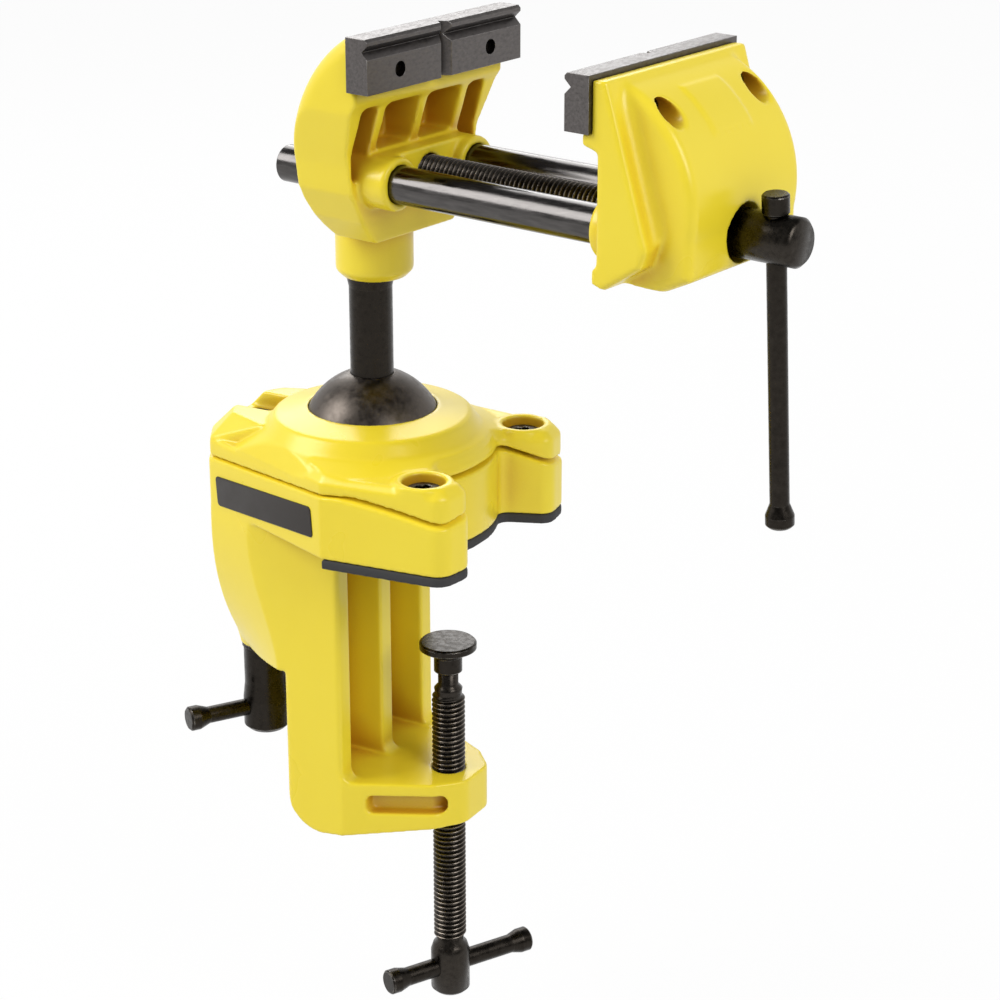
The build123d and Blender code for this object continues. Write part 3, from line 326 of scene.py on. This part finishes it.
# Ambient occlusion darkens the colour in inside corners: painted shade.
corner = corner_shade.nodes.new("ShaderNodeAmbientOcclusion")
corner.samples = 8
corner.only_local = True
corner_shade.links.new(given["Reach"], corner.inputs["Distance"])
shaded_share = map_range(corner_shade, corner.outputs["AO"], open_to_closed)
shade_patch = noise(corner_shade, given["Vector"], given["Patch Scale"])
shade_patch_level = map_range(corner_shade, shade_patch, (0.0, 1.0), shade_patch_range)
corner_shade.links.new(math_node(corner_shade, "MULTIPLY", shaded_share, shade_patch_level), wanted["Painted Shade"])
print("group", corner_shade.name)

# %% [markdown]
# ## Finishes
#
# Each finish keeps its own Principled shader, and small helpers place the shared groups in it. All
# patterns read Object coordinates: every piece sits at the origin, so they are metres, and a scale
# of 1000 means a grain of about a millimetre.


# %% Finish helpers
def new_finish(name, colour, roughness, metallic):
    """A material with plain values on its shader, ready for patterns."""
    finish = bpy.data.materials.new(name)
    finish.use_nodes = True
    shader = finish.node_tree.nodes["Principled BSDF"]
    shader.inputs["Base Color"].default_value = (*colour, 1)
    shader.inputs["Roughness"].default_value = roughness
    shader.inputs["Metallic"].default_value = metallic
    print("finish", name)
    return finish


def coordinates(finish, turn=0.0, stretch=(1, 1, 1)):
    """Object coordinates, turned about Z and stretched."""
    tree = finish.node_tree
    place = tree.nodes.new("ShaderNodeTexCoord")
    mapping = tree.nodes.new("ShaderNodeMapping")
    mapping.inputs["Rotation"].default_value = (0, 0, turn)
    mapping.inputs["Scale"].default_value = stretch
    tree.links.new(place.outputs["Object"], mapping.inputs["Vector"])
    return mapping.outputs["Vector"]


def place_group(finish, group, vector, **values):
    """A shared group in a material, with its own values."""
    node = finish.node_tree.nodes.new("ShaderNodeGroup")
    node.node_tree = group
    finish.node_tree.links.new(vector, node.inputs["Vector"])
    for label, value in values.items():
        node.inputs[label.replace("_", " ")].default_value = value
    return node.outputs


def blend_colour(finish, mask, low, high):
    """A colour between two, by a mask. Each is a triple or comes from another node."""
    tree = finish.node_tree
    mix = tree.nodes.new("ShaderNodeMix")
    mix.data_type = "RGBA"
    ends = [socket for socket in mix.inputs if socket.type == "RGBA"]
    for socket, colour in zip(ends, (low, high)):
        plug(tree, (*colour, 1) if isinstance(colour, tuple) else colour, socket)
    tree.links.new(mask, mix.inputs["Factor"])
    return [socket for socket in mix.outputs if socket.type == "RGBA"][0]


def spread(finish, value, low, high):
    """A noise pattern spread between two values."""
    return map_range(finish.node_tree, value, noise_range, (low, high))


def feed(finish, label, value):
    """Joins a pattern to a socket of the shader."""
    tree = finish.node_tree
    tree.links.new(value, tree.nodes["Principled BSDF"].inputs[label])


def relief(finish, height, depth, strength, under=None):
    """Bump of a given depth in metres, on the true normal or on another one."""
    tree = finish.node_tree
    bump = tree.nodes.new("ShaderNodeBump")
    if under is not None:
        tree.links.new(under, bump.inputs["Normal"])
    bump.inputs["Distance"].default_value = depth
    bump.inputs["Strength"].default_value = strength
    tree.links.new(height, bump.inputs["Height"])
    feed(finish, "Normal", bump.outputs["Normal"])


def grained(finish, peel_scale, patch_scale, tones, gloss, depth, strength):
    """A skin in patches of two tones, with an uneven gloss and a fine grain."""
    at = coordinates(finish)
    skin = place_group(finish, sprayed_skin, at, Peel_Scale=peel_scale, Patch_Scale=patch_scale)
    feed(finish, "Base Color", blend_colour(finish, skin["Patch"], *tones))
    feed(finish, "Roughness", spread(finish, skin["Patch"], *gloss))
    relief(finish, skin["Height"], depth, strength)


# %% Yellow casting paint
paint_thin = (0.94, 0.735, 0.030)
paint_thick = (0.955, 0.765, 0.040)
# The next colour is painted shade, the darker and more orange paint in deep hollows.
painted_shade_colour = (0.54, 0.25, 0.010)
paint_gloss = (0.26, 0.33)
casting_paint = new_finish("casting_paint", (0.95, 0.74, 0.03), roughness=0.34, metallic=0.0)
at = coordinates(casting_paint)
skin = place_group(casting_paint, sprayed_skin, at, Peel_Scale=650.0, Patch_Scale=22.0)
# Painted shade: the paint colour darkens towards inside corners, by ambient occlusion.
corner_shading = place_group(casting_paint, corner_shade, at, Reach=15 * MM, Patch_Scale=60.0)
cover = spread(casting_paint, skin["Patch"], 0.0, 1.0)
body_colour = blend_colour(casting_paint, cover, paint_thin, paint_thick)
shaded_colour = blend_colour(casting_paint, corner_shading["Painted Shade"], body_colour, painted_shade_colour)
feed(casting_paint, "Base Color", shaded_colour)
feed(casting_paint, "Roughness", spread(casting_paint, skin["Patch"], *paint_gloss))
relief(casting_paint, skin["Height"], depth=0.1 * MM, strength=0.22)

# %% Dark steel
streak_gain = 1.7  # a streak is this much paler than the ground
streak_gloss = (-0.06, 0.08)  # change of roughness, from the ground to a streak
wear_and_highlight_full = 0.90  # agreement of the faces where the wear and painted highlight are full
wear_and_highlight_scale = 420.0
line_depth = 0.03 * MM
line_strength = 0.3


def dark_steel(name, colour, edge, roughness, lines, stretch=(1, 1, 1), turn=0.0, radius=0.45 * MM):
    """Blackened steel with tool lines, and with edges that look eased and are painted paler, partly as
    rubbed wear and partly as a painted highlight.
    """
    finish = new_finish(name, colour, roughness, metallic=1.0)
    tooled = place_group(finish, tool_lines, coordinates(finish, turn, stretch), Scale=lines)
    at = coordinates(finish)
    worn_and_lit = place_group(finish, edge_wear_and_highlight, at, Radius=radius, Full=wear_and_highlight_full, Break_Scale=wear_and_highlight_scale)
    pale = tuple(c * streak_gain for c in colour)
    streaked = blend_colour(finish, tooled["Line"], colour, pale)
    # Edges are painted paler: partly rubbed wear, partly a painted highlight.
    feed(finish, "Base Color", blend_colour(finish, worn_and_lit["Wear And Highlight"], streaked, edge))
    least, most = (roughness + change for change in streak_gloss)
    feed(finish, "Roughness", spread(finish, tooled["Line"], least, most))
    relief(finish, tooled["Height"], line_depth, line_strength, worn_and_lit["Eased"])
    return finish


# %% The seven steels
# Rods and plates are tooled along the head, which stands at an angle to the clamp.
slide_axis = joints["jaw_slide"]["axis"]
head_angle = math.atan2(slide_axis[1], slide_axis[0])
thread_edge = (0.34, 0.29, 0.24)
thread_radius = 0.12 * MM
black_oxide = dark_steel(
    "black_oxide",
    (0.021, 0.018, 0.015),
    edge=(0.34, 0.32, 0.29),
    roughness=0.30,
    lines=500.0,
    radius=0.6 * MM,
)
rod_black = dark_steel(
    "rod_black",
    (0.068, 0.064, 0.062),
    edge=(0.20, 0.19, 0.18),
    roughness=0.19,
    lines=60.0,
    stretch=(1, 14, 14),
    turn=-head_angle,
)
ball_black = dark_steel(
    "ball_black",
    (0.075, 0.064, 0.055),
    edge=(0.18, 0.17, 0.16),
    roughness=0.38,
    lines=380.0,
)
thread_black = dark_steel(
    "thread_black",
    (0.030, 0.026, 0.022),
    edge=thread_edge,
    roughness=0.28,
    lines=700.0,
    radius=thread_radius,
)
# The crest finish is paler than thread_black: partly wear, partly a painted highlight.
thread_crest = dark_steel(
    "thread_crest",
    (0.15, 0.13, 0.11),
    edge=thread_edge,
    roughness=0.30,
    lines=700.0,
    radius=thread_radius,
)
jaw_steel = dark_steel(
    "jaw_steel",
    (0.095, 0.087, 0.084),
    edge=(0.45, 0.43, 0.42),
    roughness=0.38,
    lines=520.0,
    stretch=(2, 1, 2),
    turn=-head_angle,
    radius=0.3 * MM,
)
plain_steel = dark_steel(
    "plain_steel",
    (0.11, 0.105, 0.10),
    edge=(0.3, 0.29, 0.28),
    roughness=0.42,
    lines=500.0,
)

# %% Painted shade in the grooves and holes of the plates
groove_shade_colour = (0.012, 0.010, 0.009)
at = coordinates(jaw_steel)
# Ambient occlusion from the shared corner group darkens the grooves and holes of the plates: painted
# shade.
groove_shade = place_group(jaw_steel, corner_shade, at, Reach=9 * MM, Patch_Scale=200.0)
jaw_shader = jaw_steel.node_tree.nodes["Principled BSDF"]
plate_colour_unshaded = jaw_shader.inputs["Base Color"].links[0].from_socket
feed(jaw_steel, "Base Color", blend_colour(jaw_steel, groove_shade["Painted Shade"], plate_colour_unshaded, groove_shade_colour))

# %% Rubber
pad_rubber = new_finish("pad_rubber", (0.035, 0.035, 0.036), roughness=0.78, metallic=0.0)
grained(
    pad_rubber,
    peel_scale=1800.0,
    patch_scale=90.0,
    tones=((0.028, 0.028, 0.029), (0.05, 0.05, 0.052)),
    gloss=(0.7, 0.86),
    depth=0.1 * MM,
    strength=0.4,
)

# %% Finishes for the CAD pieces
finish_of = {
    "clamp_body": casting_paint,
    "ball_cap": casting_paint,
    "fixed_jaw": casting_paint,
    "moving_jaw": casting_paint,
    "bench_pad": pad_rubber,
    "fixed_jaw_plate": jaw_steel,
    "moving_jaw_plate": jaw_steel,
    "guide_rod_near": rod_black,
    "guide_rod_far": rod_black,
    "ball": ball_black,
    "clamp_screw": thread_black,
    "lead_nut": plain_steel,
    "ball_seat": plain_steel,
}


def dress(piece, finish):
    """Gives a piece one finish in place of what it had."""
    piece.data.materials.clear()
    piece.data.materials.append(finish)


for name, node in nodes.items():
    dress(node, finish_of.get(name, black_oxide))
print("dressed", len(nodes))

# %% [markdown]
# ## Soft castings
#
# The four big pieces are sand or die castings under thick paint, so no edge on them is sharp: paint
# and mould leave every corner about a millimetre round. Bevelling all those crossing edges by hand
# would take long. A voxel remesh of a copy turns it into one even skin, and a few rounds of
# smoothing then pull in only the corners, because flat ground has nowhere to go. The rubber pad is
# moulded with the same soft rim, so it is made the same way.

# %% Copies of CAD pieces
merge_distance = 0.001 * MM


def plain_copy(name, title):
    """A new object with a merged copy of a CAD mesh."""
    shell = bmesh.new()
    shell.from_mesh(nodes[name].data)
    bmesh.ops.remove_doubles(shell, verts=shell.verts, dist=merge_distance)
    mesh = bpy.data.meshes.new(title)
    shell.to_mesh(mesh)
    shell.free()
    piece = bpy.data.objects.new(title, mesh)
    scene.collection.objects.link(piece)
    return piece


def baked(piece):
    """Turns a piece with modifiers into a plain mesh."""
    graph = bpy.context.evaluated_depsgraph_get()
    mesh = bpy.data.meshes.new_from_object(piece.evaluated_get(graph))
    piece.modifiers.clear()
    piece.data = mesh
    return piece


# %% The four castings and the rubber pad
skin_voxel = 0.45 * MM
easing_factor = 0.5
easing_rounds = 20


def soft_piece(name, title, most):
    """A copy of a CAD piece with rounded edges, in at most so many triangles."""
    piece = plain_copy(name, title)
    skin = piece.modifiers.new("skin", "REMESH")
    skin.mode = "VOXEL"
    skin.voxel_size = skin_voxel
    skin.use_smooth_shade = True
    easing = piece.modifiers.new("easing", "SMOOTH")
    easing.factor = easing_factor
    easing.iterations = easing_rounds
    baked(piece)
    thinning = piece.modifiers.new("thinning", "DECIMATE")
    thinning.ratio = min(1.0, most / (2 * len(piece.data.polygons)))
    return baked(piece)


soft_pieces = [
    ("clamp_body", "base", 180000, casting_paint, "casting"),
    ("ball_cap", "base", 130000, casting_paint, "casting"),
    ("fixed_jaw", "head", 150000, casting_paint, "casting"),
    ("moving_jaw", "slider", 130000, casting_paint, "casting"),
    ("bench_pad", "base", 60000, pad_rubber, "rubber"),
]
for name, body, most, finish, slot in soft_pieces:
    piece = soft_piece(name, "soft_" + name, most)
    dress(piece, finish)
    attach(piece, body)
    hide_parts(name)
    print(name, "faces", len(piece.data.polygons))

# %% [markdown]
# ## Jaw plates
#
# The plates are machined steel with only the burr taken off. Their faces are flat, so triangles
# that share a plane are first joined into whole faces, and a narrow bevel then runs along the real
# edges. It catches a thin line of light, and the grooves between stay crisp.

# %% The two plates
flat_angle = math.radians(1)
rim_width = 0.45 * MM
rim_segments = 2
rim_angle = math.radians(35)
rim_crease = 14


def shade(mesh, degrees):
    """Smooth shading that keeps the edges sharper than an angle."""
    mesh.shade_smooth()
    mesh.set_sharp_from_angle(angle=math.radians(degrees))


def eased_plate(name, title):
    """A copy of a flat-faced piece with a narrow bevel."""
    piece = plain_copy(name, title)
    shell = bmesh.new()
    shell.from_mesh(piece.data)
    bmesh.ops.dissolve_limit(shell, angle_limit=flat_angle, verts=shell.verts, edges=shell.edges)
    shell.to_mesh(piece.data)
    shell.free()
    rim = piece.modifiers.new("rim", "BEVEL")
    rim.width = rim_width
    rim.segments = rim_segments
    rim.limit_method = "ANGLE"
    rim.angle_limit = rim_angle
    baked(piece)
    shade(piece.data, rim_crease)
    return piece


for name, body in (("fixed_jaw_plate", "head"), ("moving_jaw_plate", "slider")):
    piece = eased_plate(name, "eased_" + name)
    dress(piece, jaw_steel)
    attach(piece, body)
    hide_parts(name)
    print(name, "faces", len(piece.data.polygons))

# %% [markdown]
# ## Screw threads
#
# The clamp screw and the lead screw carry a coarse metric thread. A thread follows a rule, so
# Geometry Nodes make it: a flat grid whose long side is wound round the axis and whose short side
# is the profile of one pitch. Each turn ends where the next begins, and merging closes the skin.
# Crests rub on the nut, and the faces at the top of the profile are painted paler than the flanks: partly
# wear, partly a painted highlight.

# %% Thread tree
profile_points = 9
flank_range = (0.88, 0.14)  # foot and top of the flank, from the edge of a pitch to its middle
run_out_turns = 0.5
weld_distance = 0.005 * MM


def thread_tree():
    """Geometry Nodes that wind one screw thread about Z."""
    tree = bpy.data.node_groups.new("wound_thread", "GeometryNodeTree")
    for label, kind in (
        ("Turns", "NodeSocketInt"),
        ("Steps", "NodeSocketInt"),
        ("Pitch", "NodeSocketFloat"),
        ("Crest", "NodeSocketFloat"),
        ("Root", "NodeSocketFloat"),
        ("Finish", "NodeSocketMaterial"),
    ):
        tree.interface.new_socket(name=label, in_out="INPUT", socket_type=kind)
    tree.interface.new_socket(name="Geometry", in_out="OUTPUT", socket_type="NodeSocketGeometry")
    given = tree.nodes.new("NodeGroupInput").outputs
    strip = tree.nodes.new("GeometryNodeMeshGrid")
    strip.inputs["Size X"].default_value = 1.0
    strip.inputs["Size Y"].default_value = 1.0
    strip.inputs["Vertices Y"].default_value = profile_points
    steps = math_node(tree, "MULTIPLY", given["Turns"], given["Steps"])
    tree.links.new(math_node(tree, "ADD", steps, 1), strip.inputs["Vertices X"])
    spot = tree.nodes.new("GeometryNodeInputPosition")
    parts = tree.nodes.new("ShaderNodeSeparateXYZ")
    tree.links.new(spot.outputs[0], parts.inputs[0])
    turn = math_node(tree, "MULTIPLY", math_node(tree, "ADD", parts.outputs["X"], 0.5), given["Turns"])
    across = math_node(tree, "ADD", parts.outputs["Y"], 0.5)
    peak = math_node(tree, "ABSOLUTE", math_node(tree, "MULTIPLY", parts.outputs["Y"], 2))
    flank = map_range(tree, peak, flank_range)
    run_out = math_node(tree, "MINIMUM", turn, math_node(tree, "SUBTRACT", given["Turns"], turn))
    run_out = math_node(tree, "MINIMUM", math_node(tree, "MULTIPLY", run_out, 1 / run_out_turns), 1)
    depth = math_node(tree, "SUBTRACT", given["Crest"], given["Root"])
    depth = math_node(tree, "MULTIPLY", depth, math_node(tree, "MULTIPLY", flank, run_out))
    radius = math_node(tree, "ADD", given["Root"], depth)
    angle = math_node(tree, "MULTIPLY", turn, 2 * math.pi)
    wound = tree.nodes.new("ShaderNodeCombineXYZ")
    side = math_node(tree, "MULTIPLY", radius, math_node(tree, "COSINE", angle))
    front = math_node(tree, "MULTIPLY", radius, math_node(tree, "SINE", angle))
    rise = math_node(tree, "MULTIPLY", given["Pitch"], math_node(tree, "ADD", turn, across))
    for label, value in (("X", side), ("Y", front), ("Z", rise)):
        tree.links.new(value, wound.inputs[label])
    place = tree.nodes.new("GeometryNodeSetPosition")
    tree.links.new(strip.outputs["Mesh"], place.inputs["Geometry"])
    tree.links.new(wound.outputs[0], place.inputs["Position"])
    weld = tree.nodes.new("GeometryNodeMergeByDistance")
    weld.inputs["Distance"].default_value = weld_distance
    tree.links.new(place.outputs[0], weld.inputs["Geometry"])
    real = tree.nodes.new("GeometryNodeRealizeInstances")
    tree.links.new(weld.outputs[0], real.inputs[0])
    painted = tree.nodes.new("GeometryNodeSetMaterial")
    tree.links.new(real.outputs[0], painted.inputs["Geometry"])
    tree.links.new(given["Finish"], painted.inputs["Material"])
    end = tree.nodes.new("NodeGroupOutput")
    tree.links.new(painted.outputs[0], end.inputs[0])
    return tree


wound_thread = thread_tree()
print("tree", wound_thread.name, "nodes", len(wound_thread.nodes))

# %% Thread pieces
pitch = 1.75 * MM
turn_steps = 40
crest_share = 0.86  # faces above this share of the depth are worn and carry a painted highlight
core_play = 0.02 * MM
root_tuck = 0.03 * MM  # the core lies this far inside the root
thread_crease = 32


def set_inputs(modifier, **values):
    """Sets the named inputs of a Geometry Nodes modifier."""
    for socket in modifier.node_group.interface.items_tree:
        if socket.in_out == "INPUT" and socket.name in values:
            modifier[socket.identifier] = values[socket.name]


def axis_frame(point, direction):
    """The turn and shift that bring Z on to an axis."""
    turn = Vector((0, 0, 1)).rotation_difference(direction)
    return Matrix.Translation(point) @ turn.to_matrix().to_4x4()


def on_core(spot, core):
    """Whether a point lies on the surface of a plain core about Z."""
    return abs(math.hypot(spot.x, spot.y) - core) < core_play


def wind(turns, crest, root, finish):
    """A thread about Z as a plain mesh, with its worn and painted-highlight crest faces in a second slot.
    """
    blank = bpy.data.objects.new("thread_blank", bpy.data.meshes.new("thread_blank"))
    scene.collection.objects.link(blank)
    winding = blank.modifiers.new("winding", "NODES")
    winding.node_group = wound_thread
    set_inputs(winding, Turns=turns, Steps=turn_steps, Pitch=pitch, Crest=crest, Root=root, Finish=finish)
    mesh = baked(blank).data
    bpy.data.objects.remove(blank)
    for face in mesh.polygons:
        height = math.hypot(face.center.x, face.center.y) - root
        face.material_index = int(height > crest_share * (crest - root))
    return mesh


def draw_in(mesh, core, low, high, root):
    """Draws a plain core in to the root of its thread."""
    for vertex in mesh.vertices:
        if on_core(vertex.co, core) and low - MM < vertex.co.z < high + MM:
            shrink = root / math.hypot(vertex.co.x, vertex.co.y)
            vertex.co.x *= shrink
            vertex.co.y *= shrink


def threaded(name, title, axis, core, span, crest, root):
    """A copy of a screw with a thread wound on its drawn-in core."""
    piece = plain_copy(name, title)
    place = axis_frame(*axis)
    piece.data.transform(place.inverted())
    low, high = span
    draw_in(piece.data, core, low, high, root - root_tuck)
    turns = int((high - low) / pitch) - 1
    thread = wind(turns, crest, root, thread_black)
    thread.transform(Matrix.Translation((0, 0, (low + high - pitch * (turns + 1)) / 2)))
    joined = bmesh.new()
    joined.from_mesh(piece.data)
    joined.from_mesh(thread)
    joined.to_mesh(piece.data)
    joined.free()
    bpy.data.meshes.remove(thread)
    piece.data.transform(place)
    shade(piece.data, thread_crease)
    piece.data.materials.append(thread_black)
    piece.data.materials.append(thread_crest)
    print(title, "turns", turns, "faces", len(piece.data.polygons))
    return piece


# %% The clamp screw
clamp_axis = (Vector((0, 0, 0)), Vector((0, 0, 1)))
clamp_core = 5.6 * MM
clamp_span = (-153.8 * MM, -56.4 * MM)
clamp_crest = 5.75 * MM
clamp_root = 4.75 * MM
piece = threaded(
    "clamp_screw", "threaded_clamp_screw", clamp_axis, clamp_core, clamp_span, clamp_crest, clamp_root
)
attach(piece, "clamp_screw")
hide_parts("clamp_screw")

# %% The lead screw
lead_axis = (Vector(joints["screw_turn"]["pos_m"]), Vector(joints["screw_turn"]["axis"]))
lead_core = 5.5 * MM
lead_crest = 5.65 * MM
lead_root = 4.65 * MM
along = axis_frame(*lead_axis).inverted()
spots = [along @ vertex.co for vertex in nodes["lead_screw"].data.vertices]
reach = [spot.z for spot in spots if on_core(spot, lead_core)]
lead_span = (min(reach), max(reach))
print("lead thread in mm", [round(v / MM, 1) for v in lead_span])
piece = threaded(
    "lead_screw", "threaded_lead_screw", lead_axis, lead_core, lead_span, lead_crest, lead_root
)
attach(piece, "lead_screw")
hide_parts("lead_screw")

# %% [markdown]
# ## Label plate
#
# A thin dark plate sits on the near flank of the clamp. It stays blank here: a plain rounded
# rectangle with softened front edges. Its outline is drawn corner by corner, then pushed out along
# the flank's normal, so that it lies flat on the casting.

# %% Plate shape
corner_steps = 8
edge_share = 0.3  # where the softened edge turns


def rounded_outline(width, height, corner):
    """Points of a rounded rectangle about the origin."""
    points = []
    for sx, sy, start in ((1, 1, 0), (-1, 1, 90), (-1, -1, 180), (1, -1, 270)):
        for step in range(corner_steps + 1):
            angle = math.radians(start + 90 * step / corner_steps)
            x = sx * (width / 2 - corner) + corner * math.cos(angle)
            y = sy * (height / 2 - corner) + corner * math.sin(angle)
            points.append((x, y))
    return points


def blank_plate(width, height, corner, thickness, edge):
    """A thin plate with softened front edges, lying on the XY plane."""
    shell = bmesh.new()
    part = edge_share * edge
    levels = [(0, 0), (thickness - edge, 0), (thickness - part, part), (thickness, edge)]
    rings = []
    for z, inset in levels:
        outline = rounded_outline(width - 2 * inset, height - 2 * inset, corner - inset)
        rings.append([shell.verts.new((x, y, z)) for x, y in outline])
    count = len(rings[0])
    for lower, upper in zip(rings, rings[1:]):
        for i in range(count):
            j = (i + 1) % count
            shell.faces.new((lower[i], lower[j], upper[j], upper[i]))
    shell.faces.new(rings[-1])
    shell.faces.new(list(reversed(rings[0])))
    mesh = bpy.data.meshes.new("blank_plate")
    shell.to_mesh(mesh)
    shell.free()
    return mesh


# %% Plate finish
plate_black = new_finish("plate_black", (0.03, 0.025, 0.022), roughness=0.5, metallic=0.0)
plate_shader = plate_black.node_tree.nodes["Principled BSDF"]
plate_shader.inputs["Specular IOR Level"].default_value = 0.3
grained(
    plate_black,
    peel_scale=2200.0,
    patch_scale=160.0,
    tones=((0.026, 0.021, 0.018), (0.040, 0.034, 0.030)),
    gloss=(0.40, 0.52),
    depth=0.03 * MM,
    strength=0.3,
)

# %% Blank plate
flank_run = Vector((0.93195, -0.36260, 0))  # forward along the near flank of the clamp
flank_out = Vector((-0.36260, -0.93195, 0))  # out of that flank
flank_start = Vector((-81.0, -22.0, 0)) * MM  # its rear end
plate_reach_mm = 32.5  # from that end
plate_rise = Vector((0, 0, 12.4 * MM))
plate_sunk_mm = 0.1
plate_slant = math.radians(5.4)
plate_crease = 40
centre = flank_start + flank_run * plate_reach_mm * MM + plate_rise - flank_out * plate_sunk_mm * MM
run = flank_run * math.cos(plate_slant) + Vector((0, 0, math.sin(plate_slant)))
up = flank_out.cross(run)
place = Matrix((run, up, flank_out)).transposed().to_4x4()
place.translation = centre
mesh = blank_plate(width=56 * MM, height=10.4 * MM, corner=1.4 * MM, thickness=0.5 * MM, edge=0.2 * MM)
mesh.transform(place)
shade(mesh, plate_crease)
mesh.materials.append(plate_black)
plate = bpy.data.objects.new("blank_plate", mesh)
scene.collection.objects.link(plate)
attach(plate, "base")
print("plate centre in mm", [round(v / MM, 1) for v in centre])
